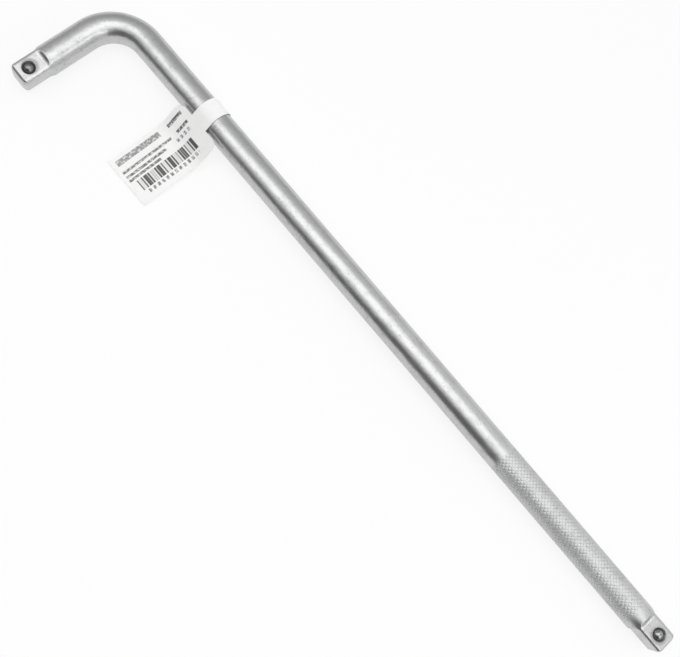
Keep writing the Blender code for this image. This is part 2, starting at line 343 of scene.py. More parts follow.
# %% Skin the rings, leaving a window for each ball
WINDOW_FIRST = QUARTER + QUARTER // 2 - WINDOW_STEPS // 2
SHORT_WINDOW_RING = len(TIP_DEPTHS)
LONG_WINDOW_RING = len(RINGS) - 1 - SHORT_WINDOW_RING - WINDOW_STEPS

bar_mesh = bmesh.new()
unbent = bar_mesh.verts.layers.float_vector.new("unbent")
groove = bar_mesh.verts.layers.float.new("groove")
pocket = bar_mesh.verts.layers.float.new("pocket")

rows = []
for along, points, grooves in RINGS:
    centre, heading = place_along(along)
    across = heading.cross(UP)
    row = []
    for (side, up), depth in zip(points, grooves):
        vert = bar_mesh.verts.new(centre + side * across + up * UP)
        vert[unbent] = (along, side, up)
        vert[groove] = depth
        row.append(vert)
    rows.append(row)

window_rings = set()
for first in (SHORT_WINDOW_RING, LONG_WINDOW_RING):
    window_rings.update(range(first, first + WINDOW_STEPS))
window_points = range(WINDOW_FIRST, WINDOW_FIRST + WINDOW_STEPS)
for i in range(len(rows) - 1):
    for k in range(SIDES):
        if i in window_rings and k in window_points:
            continue
        n = (k + 1) % SIDES
        a, b, c, d = rows[i][k], rows[i][n], rows[i + 1][n], rows[i + 1][k]
        rise = b[groove] + d[groove] - a[groove] - c[groove]
        if abs(rise) < 1e-6:
            bar_mesh.faces.new((a, b, c, d))
        elif rise > 0:
            bar_mesh.faces.new((a, b, d))
            bar_mesh.faces.new((b, c, d))
        else:
            bar_mesh.faces.new((a, b, c))
            bar_mesh.faces.new((a, c, d))
bar_mesh.faces.new(reversed(rows[0]))
bar_mesh.faces.new(rows[-1])
print(f"{len(bar_mesh.verts)} points and {len(bar_mesh.faces)} faces in the skin")

# %% [markdown]
# ## The ball holes
#
# Each ball sits in a drilled hole. After the ball is dropped in, the rim is punched down all round it,
# which leaves a dished ring and a lip that keeps the ball from falling out. The hole is a stack of
# circles sewn to the edge of the window, so its rim is clean and rounded. The profile lists the radius
# and the height of each circle in millimetres.

# %% How a dished, drilled hole is sewn into a window
HOLE_PROFILE = [
    (3.98, 0.0), (3.80, 0.0), (3.72, -0.012), (3.65, -0.055), (3.58, -0.125), (3.30, -0.43),
    (3.02, -0.72), (2.92, -0.81), (2.87, -0.88), (2.855, -0.95), (2.90, -1.05), (3.10, -1.40),
    (3.10, -5.0), (3.10, -8.9), (3.0, -9.06), (1.5, -9.96),
]
HOLE_POINT_DEPTH = 10.863 * MM
POCKET_RADIUS = 3.9
POCKET_FADE = 0.5
POCKET_DEPTH = -0.5


def window_edge(first):
    """The points round a window, in order."""
    last = first + WINDOW_STEPS
    left, right = WINDOW_FIRST, WINDOW_FIRST + WINDOW_STEPS
    edge = [rows[first][k] for k in range(left, right)]
    edge += [rows[i][right] for i in range(first, last)]
    edge += [rows[last][k] for k in range(right, left, -1)]
    edge += [rows[i][left] for i in range(last, first, -1)]
    return edge


def sew(mesh_data, ring, following):
    """Faces between two rings that have the same number of points."""
    for k in range(len(ring)):
        n = (k + 1) % len(ring)
        mesh_data.faces.new((ring[k], ring[n], following[n], following[k]))


def sew_hole(edge, centre, top):
    """Sew the hole's circles to the edge of a window, round an axis through its centre."""
    loop = edge
    count = len(edge)
    middle = (edge[0][unbent] + edge[WINDOW_STEPS * 2][unbent]) / 2
    for radius, height in HOLE_PROFILE:
        ring = []
        for outer in edge:
            away = outer.co - centre
            away -= away.dot(top) * top
            vert = bar_mesh.verts.new(centre + radius * MM * away.normalized() + height * MM * top)
            flat = outer[unbent] - middle
            vert[unbent] = middle + flat * (radius * MM / max(away.length, 1e-6))
            vert[pocket] = 1.0
            if height > POCKET_DEPTH:
                vert[pocket] = min(1, max(0, (POCKET_RADIUS - radius) / POCKET_FADE))
            ring.append(vert)
        sew(bar_mesh, loop, ring)
        loop = ring
    point = bar_mesh.verts.new(centre - HOLE_POINT_DEPTH * top)
    point[pocket] = 1.0
    for k in range(count):
        bar_mesh.faces.new((loop[k], loop[(k + 1) % count], point))


print(f"{len(HOLE_PROFILE)} circles in each hole")

# %% Sew the two holes
SHORT_TOP = SHORT_LEAN @ UP
LONG_TOP = LONG_LEAN @ UP
SHORT_SEAT = CORNER + (SHORT_ARM - BALL_FROM_TIP) * SHORT_WAY + HALF_SQUARE * SHORT_TOP
LONG_SEAT = CORNER + (LONG_ARM - BALL_FROM_TIP) * LONG_WAY + HALF_SQUARE * LONG_TOP
sew_hole(window_edge(SHORT_WINDOW_RING), SHORT_SEAT, SHORT_TOP)
sew_hole(window_edge(LONG_WINDOW_RING), LONG_SEAT, LONG_TOP)
print(f"{len(bar_mesh.faces)} faces in the skin with its holes")

# %% Turn the skin into a piece
BAR_SHARP_DEGREES = 28
SHARP_DEGREES = 50


def add_object(name, data):
    made = bpy.data.objects.new(name, data)
    bpy.context.scene.collection.objects.link(made)
    return made


def make_piece(name, mesh_data, sharp_degrees=None):
    """Turn a bmesh into an object with smooth faces, sharp only where they meet at a steep angle."""
    bmesh.ops.recalc_face_normals(mesh_data, faces=mesh_data.faces)
    mesh = bpy.data.meshes.new(name)
    mesh_data.to_mesh(mesh)
    mesh_data.free()
    mesh.polygons.foreach_set("use_smooth", [True] * len(mesh.polygons))
    if sharp_degrees is not None:
        mesh.set_sharp_from_angle(angle=math.radians(sharp_degrees))
    print(f"{name}: {len(mesh.vertices)} points, {len(mesh.polygons)} faces")
    return add_object(name, mesh)


bar = make_piece("bar", bar_mesh, BAR_SHARP_DEGREES)
bar.modifiers.new("flat_faces_stay_flat", "WEIGHTED_NORMAL").keep_sharp = True

# %% [markdown]
# ## The balls
#
# The detent balls are 6 mm bearing balls. A ball could be a ready-made sphere, but the crown that every
# socket rubs over is worn a little flatter than the rest, so the ball is turned from its own profile.

# %% Turn the two balls
BALL_RADIUS = 3.0 * MM
BALL_DEPTH = 1.977 * MM
BALL_STEPS = 40
BALL_SIDES = 64
CROWN_DEGREES = 16
CROWN_WEAR = 0.02 * MM


def turn_ball(name, seat, lean):
    mesh_data = bmesh.new()
    centre = seat - BALL_DEPTH * (lean @ UP)
    rings = []
    for i in range(1, BALL_STEPS):
        tilt = math.pi * i / BALL_STEPS
        wear = max(0, 1 - math.degrees(tilt) / CROWN_DEGREES)
        radius = BALL_RADIUS - CROWN_WEAR * wear * wear * (3 - 2 * wear)
        ring = []
        for k in range(BALL_SIDES):
            turn = math.tau * k / BALL_SIDES
            flat = Vector((math.cos(turn), math.sin(turn), 0))
            away = math.sin(tilt) * flat + math.cos(tilt) * UP
            ring.append(mesh_data.verts.new(centre + radius * (lean @ away)))
        rings.append(ring)
    top = mesh_data.verts.new(centre + (BALL_RADIUS - CROWN_WEAR) * (lean @ UP))
    foot = mesh_data.verts.new(centre - BALL_RADIUS * (lean @ UP))
    for k in range(BALL_SIDES):
        n = (k + 1) % BALL_SIDES
        mesh_data.faces.new((rings[0][k], rings[0][n], top))
        mesh_data.faces.new((rings[-1][n], rings[-1][k], foot))
    for upper, lower in zip(rings, rings[1:]):
        sew(mesh_data, upper, lower)
    return make_piece(name, mesh_data)


short_ball = turn_ball("short_ball_fine", SHORT_SEAT, SHORT_LEAN)
long_ball = turn_ball("long_ball_fine", LONG_SEAT, LONG_LEAN)
print(f"each ball stands {(BALL_RADIUS - BALL_DEPTH) / MM:.2f} mm out of its flat")

# %% [markdown]
# ## The springs
#
# A small wire spring pushes each ball up. It can't be seen when the tool is whole, but the model can be
# cut open. The wire is a loft along a helix, with finer steps than the CAD solid and slightly tapered
# ends.

# %% Wind the two springs
SPRING_RADIUS = 1.9 * MM
WIRE_RADIUS = 0.3 * MM
SPRING_TURNS = 4
SPRING_DEPTH = 9.254 * MM
SPRING_LENGTH = 4.457 * MM
TURN_STEPS = 36
WIRE_SIDES = 14
WIRE_END = 0.82


def wind_spring(name, seat, lean):
    mesh_data = bmesh.new()
    foot = seat - SPRING_DEPTH * (lean @ UP)
    slope = math.atan2(SPRING_LENGTH / SPRING_TURNS, math.tau * SPRING_RADIUS)
    count = SPRING_TURNS * TURN_STEPS
    rings = []
    for i in range(count + 1):
        turn = math.tau * i / TURN_STEPS
        radial = Vector((math.cos(turn), math.sin(turn), 0))
        sideways = Vector((-math.sin(turn), math.cos(turn), 0))
        across = math.cos(slope) * UP - math.sin(slope) * sideways
        centre = SPRING_RADIUS * radial + SPRING_LENGTH * i / count * UP
        wire = WIRE_RADIUS * (WIRE_END if i in (0, count) else 1)
        ring = []
        for k in range(WIRE_SIDES):
            angle = math.tau * k / WIRE_SIDES
            point = centre + wire * (math.cos(angle) * radial + math.sin(angle) * across)
            ring.append(mesh_data.verts.new(foot + lean @ point))
        rings.append(ring)
    for ring, following in zip(rings, rings[1:]):
        sew(mesh_data, ring, following)
    mesh_data.faces.new(reversed(rings[0]))
    mesh_data.faces.new(rings[-1])
    return make_piece(name, mesh_data, SHARP_DEGREES)


short_spring = wind_spring("short_spring_fine", SHORT_SEAT, SHORT_LEAN)
long_spring = wind_spring("long_spring_fine", LONG_SEAT, LONG_LEAN)
print(f"springs: {SPRING_TURNS} turns, {SPRING_LENGTH / MM:.2f} mm between wire centres")

# %% [markdown]
# ## The paper tag
#
# The tag is one strip of coated paper with a narrow neck. The neck goes round the bar, and the two wide
# leaves are stuck together, from close to the bar to their outer edge. It is made as the printer makes
# it: a flat pattern is cut first, as a grid of small faces with rounded inner corners, and then each
# point is carried along the folded section.

# %% Section of the folded tag
TAG_MIDDLE = CORNER.x + 77 * MM
PAPER = 0.25 * MM
PAPER_CLEARANCE = 0.3 * MM
LOOP = BAR_RADIUS + PAPER_CLEARANCE + PAPER / 2
LOOP_STEPS = 72
PINCH_REACH = 12 * MM
CREASE = Vector((-22 * MM, -6 * MM))
TAG_EDGE = Vector((-57.6 * MM, 1.2 * PAPER - 8.8 * MM))
LEAF_GAP = 0.03 * MM
CREASE_SOFTNESS = 4.5 * MM
CREASE_STEPS = 16
FOLD_SOFTNESS = 1.0 * MM
FOLD_STEPS = 10
LOWER_LEAF_SHOWS = 0.5 * MM


def leave_loop(target, way):
    """Angle and point where a straight line to a target leaves the loop: way is 1 above, -1 below."""
    middle = math.atan2(target.y, target.x) % math.tau
    angle = middle - way * math.acos(LOOP / target.length)
    return angle, LOOP * Vector((math.cos(angle), math.sin(angle)))


def soft_bend(start, corner, end, softness, steps):
    """Points of a rounded corner between two straight lines."""
    before = corner + softness * (start - corner).normalized()
    after = corner + softness * (end - corner).normalized()
    shares = [i / steps for i in range(steps + 1)]
    return [(1 - t) ** 2 * before + 2 * t * (1 - t) * corner + t * t * after for t in shares]


def below(here, following):
    """Unit vector square to the sheet, on its lower side."""
    along = (following - here).normalized()
    return Vector((-along.y, along.x))


print(f"the paper loops round the bar {LOOP / MM:.2f} mm from its centre line")

# %% Lines of the two leaves and the loop
lift = Vector((0, PAPER / 2 + LEAF_GAP))
top_angle, top_start = leave_loop(CREASE + lift, 1)
upper_line = [top_start]
upper_line += soft_bend(top_start, CREASE + lift, TAG_EDGE + lift, CREASE_SOFTNESS, CREASE_STEPS)
upper_line.append(TAG_EDGE + lift)

spacing = PAPER + 2 * LEAF_GAP
share = (PINCH_REACH + top_start.x) / (top_start.x - upper_line[1].x)
pinch = top_start.lerp(upper_line[1], share) + spacing * below(top_start, upper_line[1])
lower_line = []
for before, here, after in zip(upper_line, upper_line[1:], upper_line[2:] + upper_line[-1:]):
    lower_line.append(here + spacing * below(before, after))
lower_line[-1].x -= LOWER_LEAF_SHOWS
low_angle, low_start = leave_loop(pinch, -1)
folded_back = [low_start] + soft_bend(low_start, pinch, lower_line[0], FOLD_SOFTNESS, FOLD_STEPS)

arc = []
for i in range(1, LOOP_STEPS):
    angle = top_angle + (low_angle - math.tau - top_angle) * i / LOOP_STEPS
    arc.append(LOOP * Vector((math.cos(angle), math.sin(angle))))
TAG_LINE = upper_line[::-1] + arc + folded_back + lower_line
TAG_LENGTHS = [0.0]
for here, following in zip(TAG_LINE, TAG_LINE[1:]):
    TAG_LENGTHS.append(TAG_LENGTHS[-1] + (following - here).length)
STRIP_LENGTH = TAG_LENGTHS[-1]
print(f"the strip is {STRIP_LENGTH / MM:.1f} mm long before it is folded")

# %% Carry a point of the flat strip along the folded section
SHOULDER = 8.8 * MM


def fold(t):
    """Point (y, z) at a length along the strip, and the direction that faces outwards there."""
    i = 0
    while i < len(TAG_LENGTHS) - 2 and TAG_LENGTHS[i + 1] < t:
        i += 1
    step = TAG_LINE[i + 1] - TAG_LINE[i]
    point = TAG_LINE[i] + step.normalized() * (t - TAG_LENGTHS[i])
    before = TAG_LINE[i] - TAG_LINE[max(i - 1, 0)]
    after = TAG_LINE[min(i + 2, len(TAG_LINE) - 1)] - TAG_LINE[i + 1]
    share = (t - TAG_LENGTHS[i]) / step.length
    forward = step.normalized()
    if share < 0.5 and before.length > 0:
        forward = forward.lerp(before.normalized(), 0.5 - share)
    if share > 0.5 and after.length > 0:
        forward = forward.lerp(after.normalized(), share - 0.5)
    return point, Vector((-forward.y, forward.x)).normalized()


SHOULDER_SHARE = (SHOULDER + top_start.x) / (top_start.x - upper_line[1].x)
UPPER_SHOULDER = TAG_LENGTHS[len(upper_line) - 1] - SHOULDER_SHARE * (upper_line[1] - top_start).length
LOWER_SHOULDER = TAG_LENGTHS[-len(lower_line) - 1]
print(f"the leaves are {UPPER_SHOULDER / MM:.1f} and {(STRIP_LENGTH - LOWER_SHOULDER) / MM:.1f} mm long")

# %% Cut the pattern
NECK_HALF = 5.7 * MM
LEAF_HALF = 15.5 * MM
LEAF_CORNER = 4.5 * MM
WING = [15.5, 14.6, 13.7, 12.8, 11.9, 11, 9.7, 8.4, 7, 5.7]
NECK_COLUMNS = [-3.8, -1.9, 0, 1.9, 3.8]
COLUMNS = [-value * MM for value in WING]
COLUMNS += [value * MM for value in NECK_COLUMNS + WING[::-1]]
CORNER_ROWS = [0, 0.9, 1.8, 2.7, 3.6, 4.5, 6, 8]
CREASE_ROWS = [9.5, 11, 12.5, 14, 15.5, 17, 18.5, 20, 22]
FLAT_ROWS = [25, 28, 31, 34, 37, 40]
ROW_STEP = 3 * MM
LEAST_STEP = 1 * MM


def leaf_rows(length):
    """Distances of a leaf's rows from its shoulder, as far as its edge."""
    kept = [value * MM for value in CORNER_ROWS + CREASE_ROWS + FLAT_ROWS]
    kept = [value for value in kept if value < length - LEAST_STEP]
    rest = length - kept[-1]
    count = math.ceil(rest / ROW_STEP)
    return kept + [kept[-1] + rest * i / count for i in range(1, count + 1)]


def rounded_corner(u, w):
    """Move a point so that the leaf's inner corners are round; w starts at the shoulder."""
    p = (abs(u) - LEAF_HALF + LEAF_CORNER) / LEAF_CORNER
    q = (LEAF_CORNER - w) / LEAF_CORNER
    if p <= 0 or q <= 0:
        return u, w
    new_p = p * math.sqrt(1 - q * q / 2)
    new_q = q * math.sqrt(1 - p * p / 2)
    return math.copysign(LEAF_HALF - LEAF_CORNER + new_p * LEAF_CORNER, u), LEAF_CORNER * (1 - new_q)


NECK_START = UPPER_SHOULDER + 0.1 * MM
NECK_END = LOWER_SHOULDER - 0.01 * MM
pattern = [("upper", w) for w in reversed(leaf_rows(UPPER_SHOULDER))]
pattern += [("neck", length) for length in TAG_LENGTHS if NECK_START < length < NECK_END]
pattern += [("lower", w) for w in leaf_rows(STRIP_LENGTH - LOWER_SHOULDER)]
print(f"{len(pattern)} rows of at most {len(COLUMNS)} points in the pattern")

# %% Fold the pattern
CORNER_CURL = 0.9 * MM
CURL_START = 25 * MM
CURL_LENGTH = 32 * MM

tag_mesh = bmesh.new()
tag_uv = tag_mesh.loops.layers.uv.new("pattern")
flat_place = {}
outer, inner = [], []
for part, length in pattern:
    outer_row, inner_row = {}, {}
    for j, u in enumerate(COLUMNS):
        if part == "neck" and abs(u) > NECK_HALF + 1e-9:
            continue
        w = length
        t = length
        if part != "neck":
            u, w = rounded_corner(u, length)
            t = UPPER_SHOULDER - w if part == "upper" else LOWER_SHOULDER + w
        point, outwards = fold(t)
        reach = max(0, -point.x - CURL_START) / CURL_LENGTH
        curl = CORNER_CURL * (u / LEAF_HALF) ** 2 * reach * reach
        middle = Vector((TAG_MIDDLE + u, CORNER.y + point.x, CORNER.z + point.y + curl))
        thick = PAPER / 2 * Vector((0, outwards.x, outwards.y))
        for row, sign in ((outer_row, 1), (inner_row, -1)):
            row[j] = tag_mesh.verts.new(middle + sign * thick)
            flat_place[row[j]] = (u / (2 * LEAF_HALF) + 0.5, w / UPPER_SHOULDER)
    outer.append(outer_row)
    inner.append(inner_row)
print(f"{len(flat_place)} points on the two sides of the paper")

# %% Skin both sides of the paper and its edge
edge_pairs = {}
for i in range(len(pattern) - 1):
    for j in range(len(COLUMNS) - 1):
        keys = ((i, j), (i, j + 1), (i + 1, j + 1), (i + 1, j))
        if not all(column in outer[row] for row, column in keys):
            continue
        face = tag_mesh.faces.new([outer[row][column] for row, column in keys])
        tag_mesh.faces.new([inner[row][column] for row, column in reversed(keys)])
        face.material_index = 1 if pattern[i + 1][0] == "upper" else 0
        for first, second in zip(keys, keys[1:] + keys[:1]):
            edge = tuple(sorted((first, second)))
            edge_pairs[edge] = edge_pairs.get(edge, 0) + 1
for ((i, j), (m, n)), uses in edge_pairs.items():
    if uses == 1:
        tag_mesh.faces.new((outer[i][j], outer[m][n], inner[m][n], inner[i][j]))
for face in tag_mesh.faces:
    for loop in face.loops:
        loop[tag_uv].uv = flat_place[loop.vert]
tag = make_piece("folded_tag", tag_mesh, SHARP_DEGREES)

# %% [markdown]
# ## Tools for materials
#
# Every finish is made of nodes. Small helpers keep the cells short: they add a node with its values and
# links, give the result of a sum, a ramp, a noise or a mix, and start or use a node group, which is a
# piece of a material that can be used again.

# %% Helpers that add nodes
def plug(tree, node, inputs):
    """Link the inputs that are sockets, and set the others."""
    for name, value in inputs.items():
        if isinstance(value, bpy.types.NodeSocket):
            tree.links.new(value, node.inputs[name])
        else:
            node.inputs[name].default_value = value


def put(tree, kind, inputs=None, **settings):
    """Add a node with its settings and inputs."""
    made = tree.nodes.new(kind)
    for name, value in settings.items():
        setattr(made, name, value)
    plug(tree, made, inputs or {})
    return made


def sums(tree, operation, *values):
    """A Math node's result."""
    return put(tree, "ShaderNodeMath", dict(enumerate(values)), operation=operation).outputs[0]


def ramp(tree, value, low, high, start=0.0, end=1.0):
    """Spread a value from low..high smoothly onto start..end."""
    inputs = {"Value": value, "From Min": low, "From Max": high, "To Min": start, "To Max": end}
    return put(tree, "ShaderNodeMapRange", inputs, interpolation_type="SMOOTHSTEP").outputs["Result"]


def add_shares(tree, value, *causes):
    """Add to a value each cause times its share."""
    for cause, share in causes:
        value = sums(tree, "MULTIPLY_ADD", cause, share, value)
    return value


def vectors(tree, operation, first, second, output="Vector"):
    """A Vector Math node's result."""
    return put(tree, "ShaderNodeVectorMath", {0: first, 1: second}, operation=operation).outputs[output]


def noise(tree, where, scale, detail, distortion=0.0):
    """A noise's value, near 0.5 on average."""
    inputs = {"Vector": where, "Scale": scale, "Detail": detail, "Distortion": distortion}
    return put(tree, "ShaderNodeTexNoise", inputs).outputs["Fac"]


def mix(tree, factor, first, second):
    """A colour between two others."""
    inputs = {"Factor": factor, "A": first, "B": second}
    return put(tree, "ShaderNodeMix", inputs, data_type="RGBA").outputs["Result"]


def read(tree, name, output="Fac"):
    """A value that the mesh carries at each point."""
    return put(tree, "ShaderNodeAttribute", attribute_name=name).outputs[output]


print("helpers for nodes made")


# %% Helpers for groups and materials
def new_group(name, inputs):
    """A new node group and the sockets of its inputs. An input with no value is a vector."""
    group = bpy.data.node_groups.new(name, "ShaderNodeTree")
    for label, value in inputs.items():
        kind = "NodeSocketVector" if value is None else "NodeSocketFloat"
        socket = group.interface.new_socket(label, in_out="INPUT", socket_type=kind)
        if value is not None:
            socket.default_value = value
    return group, put(group, "NodeGroupInput").outputs


def close_group(group, outputs):
    """Give a group its outputs."""
    for label in outputs:
        group.interface.new_socket(label, in_out="OUTPUT", socket_type="NodeSocketFloat")
    put(group, "NodeGroupOutput", outputs)
    print("group", group.name, "has", len(group.nodes), "nodes")
    return group


def use_group(tree, group, inputs):
    """The outputs of a node group used in a material."""
    return put(tree, "ShaderNodeGroup", inputs, node_tree=group).outputs


def new_material(name):
    """A new material, its nodes and its shader."""
    material = bpy.data.materials.new(name)
    material.use_nodes = True
    return material, material.node_tree, material.node_tree.nodes["Principled BSDF"]


print("helpers for groups and materials made")

# %% [markdown]
# ## Bands and marks
#
# Two effects come back on several finishes. A soft band is 1 where a value lies between two limits, and
# fades over a given distance: it limits the knurl's duller finish to the grip and draws the print on the
# tag. Handling leaves thin scratches and smudges on metal and paper alike.

# %% Node group for soft bands
limits = {"Value": 0.0, "Low": 0.0, "High": 1.0, "Softness": 0.1}
tree, given = new_group("soft_band", limits)
past_low = sums(tree, "SUBTRACT", given["Value"], given["Low"])
short_of_high = sums(tree, "SUBTRACT", given["High"], given["Value"])
nearest = sums(tree, "MINIMUM", past_low, short_of_high)
in_steps = sums(tree, "DIVIDE", nearest, given["Softness"])
band_group = close_group(tree, {"Band": ramp(tree, in_steps, -0.5, 0.5)})


def band(tree, value, low, high, softness):
    """1 between two limits and 0 outside them."""
    limits = {"Value": value, "Low": low, "High": high, "Softness": softness}
    return use_group(tree, band_group, limits)["Band"]


# %% Node group for handling marks
SCRATCH_THINNESS = 45.0
SCRATCH_TURN = 0.12
SCRATCH_LEVELS = (0.66, 0.74)
SMUDGES_PER_METRE = 130.0
SMUDGE_LEVELS = (0.45, 0.75)

sizes = {"Vector": None, "Scratch Length": 20 * MM}
tree, given = new_group("handling_marks", sizes)
lengthways = sums(tree, "DIVIDE", 1.0, given["Scratch Length"])
sideways = sums(tree, "MULTIPLY", lengthways, SCRATCH_THINNESS)
scales = {"X": lengthways, "Y": sideways, "Z": sideways}
stretch = put(tree, "ShaderNodeCombineXYZ", scales).outputs[0]
turning = {"Vector": given["Vector"], "Angle": SCRATCH_TURN}
turned = put(tree, "ShaderNodeVectorRotate", turning).outputs[0]
drawn_out = vectors(tree, "MULTIPLY", turned, stretch)
scratches = ramp(tree, noise(tree, drawn_out, 1.0, 1.0), *SCRATCH_LEVELS)
smudges = ramp(tree, noise(tree, given["Vector"], SMUDGES_PER_METRE, 5.0), *SMUDGE_LEVELS)
marks_group = close_group(tree, {"Scratches": scratches, "Smudges": smudges})

# %% [markdown]
# ## Satin grain
#
# The metal was ground and polished before plating, and fine marks still show through the plate. The
# grain group mixes short marks that run round the bar with an even speckle, and adds slow cloudy
# patches. The bar, the balls and the springs all use it with their own sizes.

# %% Node group for the satin grain
MARK_SHARE = 0.6
SPECKLE_SHARE = 0.4
PATCH_LEVELS = (0.3, 0.7)

sizes = {"Vector": None, "Mark Spacing": 0.4 * MM, "Mark Length": 10.0, "Patch Size": 20 * MM}
tree, given = new_group("satin_grain", sizes)
fine = sums(tree, "DIVIDE", 1.0, given["Mark Spacing"])
drawn = sums(tree, "DIVIDE", fine, given["Mark Length"])
stretch = put(tree, "ShaderNodeCombineXYZ", {"X": fine, "Y": drawn, "Z": drawn}).outputs[0]
marks = noise(tree, vectors(tree, "MULTIPLY", given["Vector"], stretch), 1.0, 3.0)
speckle = noise(tree, given["Vector"], fine, 2.0)
marks_part = sums(tree, "MULTIPLY", marks, MARK_SHARE)
both = add_shares(tree, marks_part, (speckle, SPECKLE_SHARE))
slow = sums(tree, "DIVIDE", 1.0, given["Patch Size"])
patches = ramp(tree, noise(tree, given["Vector"], slow, 4.0), *PATCH_LEVELS)
grain_group = close_group(tree, {"Grain": both, "Patches": patches})

# %% [markdown]
# ## Chrome plate
#
# Chromium reflects a little over half of the light, so where the bar shows the white table it is light
# grey, and only the lamps show as white. The satin finish blurs what it reflects, and a slight ripple,
# left by the forging, makes the highlight's edges waver. The grip is duller than the rest, because a
# knurl isn't polished. Painted shade darkens its grooves, the balls' holes and a soft rim round each
# hole, and real dirt lies in small pits and smudges. The marks follow the bent bar because they are
# placed by where each point would be on a straight one.

# %% Chrome: where the patterns lie
GRIP_FADE = 8 * MM
GRIP_END = BAR_LENGTH - KNURL_FROM_TIP + 2 * MM
GRAIN_SPACING = 0.4 * MM
GRAIN_LENGTH = 9.0
RIPPLE_SIZE = 9 * MM
PLATE_SCRATCH = 30 * MM

chrome, tree, shader = new_material("satin_chrome")
straight = read(tree, "unbent", "Vector")
sizes = {"Vector": straight, "Mark Spacing": GRAIN_SPACING, "Mark Length": GRAIN_LENGTH}
grain = use_group(tree, grain_group, sizes)
ripple = use_group(tree, grain_group, {"Vector": straight, "Patch Size": RIPPLE_SIZE})
marks = use_group(tree, marks_group, {"Vector": straight, "Scratch Length": PLATE_SCRATCH})
along = put(tree, "ShaderNodeSeparateXYZ", {"Vector": straight}).outputs["X"]
dull = band(tree, along, KNURL_START, GRIP_END, GRIP_FADE)
print(f"the grip runs from {KNURL_START / MM:.1f} to {GRIP_END / MM:.1f} mm along the bar")

# %% Chrome: painted shade, dirt and colour
CHROME = (0.55, 0.552, 0.556, 1)
FROSTED = (0.65, 0.652, 0.655, 1)
# The darker colour is painted shade in the grooves, in the holes and round them, and real dirt in pits
# and smudges.
SHADE_AND_GRIME = (0.055, 0.053, 0.05, 1)
# Painted shade: the knurl's grooves are darkened in the colour, most at their bottom.
GROOVE_SHADE = 0.14
GROOVE_LEVELS = (0.3, 1.0)
PIT_SIZE = 1.3 * MM
PIT_LEVELS = (0.56, 0.72)
PIT_GRIME = 0.2
SMUDGE_GRIME = 0.09
# Painted shade inside the balls' holes, fading out over the dished rim.
HOLE_SHADE = 0.67
# Painted shade: a soft darker rim round each hole, centred a little off the ball.
RIM_SHADE = 0.4
RIM_EDGE = (3.6 * MM, 5.4 * MM)
SHORT_RIM = (
    BALL_FROM_TIP + 0.9 * MM,
    HALF_SQUARE * math.sin(SHORT_TURN),
    HALF_SQUARE * math.cos(SHORT_TURN),
)
LONG_RIM = (BAR_LENGTH - BALL_FROM_TIP, 0.5 * MM, HALF_SQUARE)

# Painted shade in the knurl's grooves.
shade_in_grooves = sums(tree, "MULTIPLY", ramp(tree, read(tree, "groove"), *GROOVE_LEVELS), GROOVE_SHADE)
# Painted shade inside the balls' holes.
shade_in_holes = sums(tree, "MULTIPLY", read(tree, "pocket"), HOLE_SHADE)
shade_and_grime = sums(tree, "MAXIMUM", shade_in_grooves, shade_in_holes)
# Painted shade: a soft darker rim round each hole, fading outwards.
for rim in (SHORT_RIM, LONG_RIM):
    away = vectors(tree, "DISTANCE", straight, rim, "Value")
    shade_and_grime = sums(tree, "MAXIMUM", shade_and_grime, ramp(tree, away, *RIM_EDGE, RIM_SHADE, 0.0))
pits = ramp(tree, noise(tree, straight, 1 / PIT_SIZE, 2.0), *PIT_LEVELS)
shade_and_grime = add_shares(tree, shade_and_grime, (marks["Smudges"], SMUDGE_GRIME), (pits, PIT_GRIME))
# The chrome turns towards the darker colour where shade is painted and where dirt lies.
colour = mix(tree, shade_and_grime, mix(tree, dull, CHROME, FROSTED), SHADE_AND_GRIME)
plug(tree, shader, {"Base Color": colour, "Metallic": 1.0})
print(chrome.name, "has its colour")

# %% Chrome: roughness and ripple
PLATE_ROUGHNESS = 0.26
GRAIN_ROUGHNESS = 0.08
SMUDGE_ROUGHNESS = 0.05
SCRATCH_ROUGHNESS = 0.08
GRIP_ROUGHNESS = 0.25
SHADE_AND_GRIME_ROUGHNESS = 0.2
RIPPLE_HEIGHT = 0.09 * MM
GRAIN_HEIGHT = 0.08
SCRATCH_HEIGHT = -0.04

rough = add_shares(
    tree,
    PLATE_ROUGHNESS,
    (grain["Grain"], GRAIN_ROUGHNESS),
    (marks["Smudges"], SMUDGE_ROUGHNESS),
    (marks["Scratches"], SCRATCH_ROUGHNESS),
    (dull, GRIP_ROUGHNESS),
    (shade_and_grime, SHADE_AND_GRIME_ROUGHNESS),
)
bumps = ((grain["Grain"], GRAIN_HEIGHT), (marks["Scratches"], SCRATCH_HEIGHT))
height = add_shares(tree, ripple["Patches"], *bumps)
bump = put(tree, "ShaderNodeBump", {"Strength": 1.0, "Distance": RIPPLE_HEIGHT, "Height": height})
plug(tree, shader, {"Roughness": rough, "Normal": bump.outputs["Normal"]})
print(chrome.name, "has", len(tree.nodes), "nodes")

# %% [markdown]
# ## Bearing steel and spring wire
#
# The balls are hardened bare steel, darker than chrome and glossy. The short arm's ball is a darker copy
# of the same steel, as painted shade, and a little rougher. The springs are drawn wire with fine marks.
# All use the same grain group as the bar, at a smaller size.

# %% Bearing steel and spring wire
BALL_STEEL = (0.42, 0.42, 0.425, 1)
# Painted shade: a darker copy of the ball steel for the short arm's ball.
SHADED_BALL_STEEL = (0.28, 0.278, 0.274, 1)
WIRE_STEEL = (0.20, 0.198, 0.195, 1)
STEEL_PATCH = 2 * MM
PATCH_DARKNESS = 0.7
STEEL_GRAIN_ROUGHNESS = 0.1
BALL_ROUGHNESS = 0.1
SHORT_BALL_ROUGHNESS = 0.16
WIRE_ROUGHNESS = 0.25
BALL_MARKS = (0.2 * MM, 1.0)
WIRE_MARKS = (0.1 * MM, 6.0)


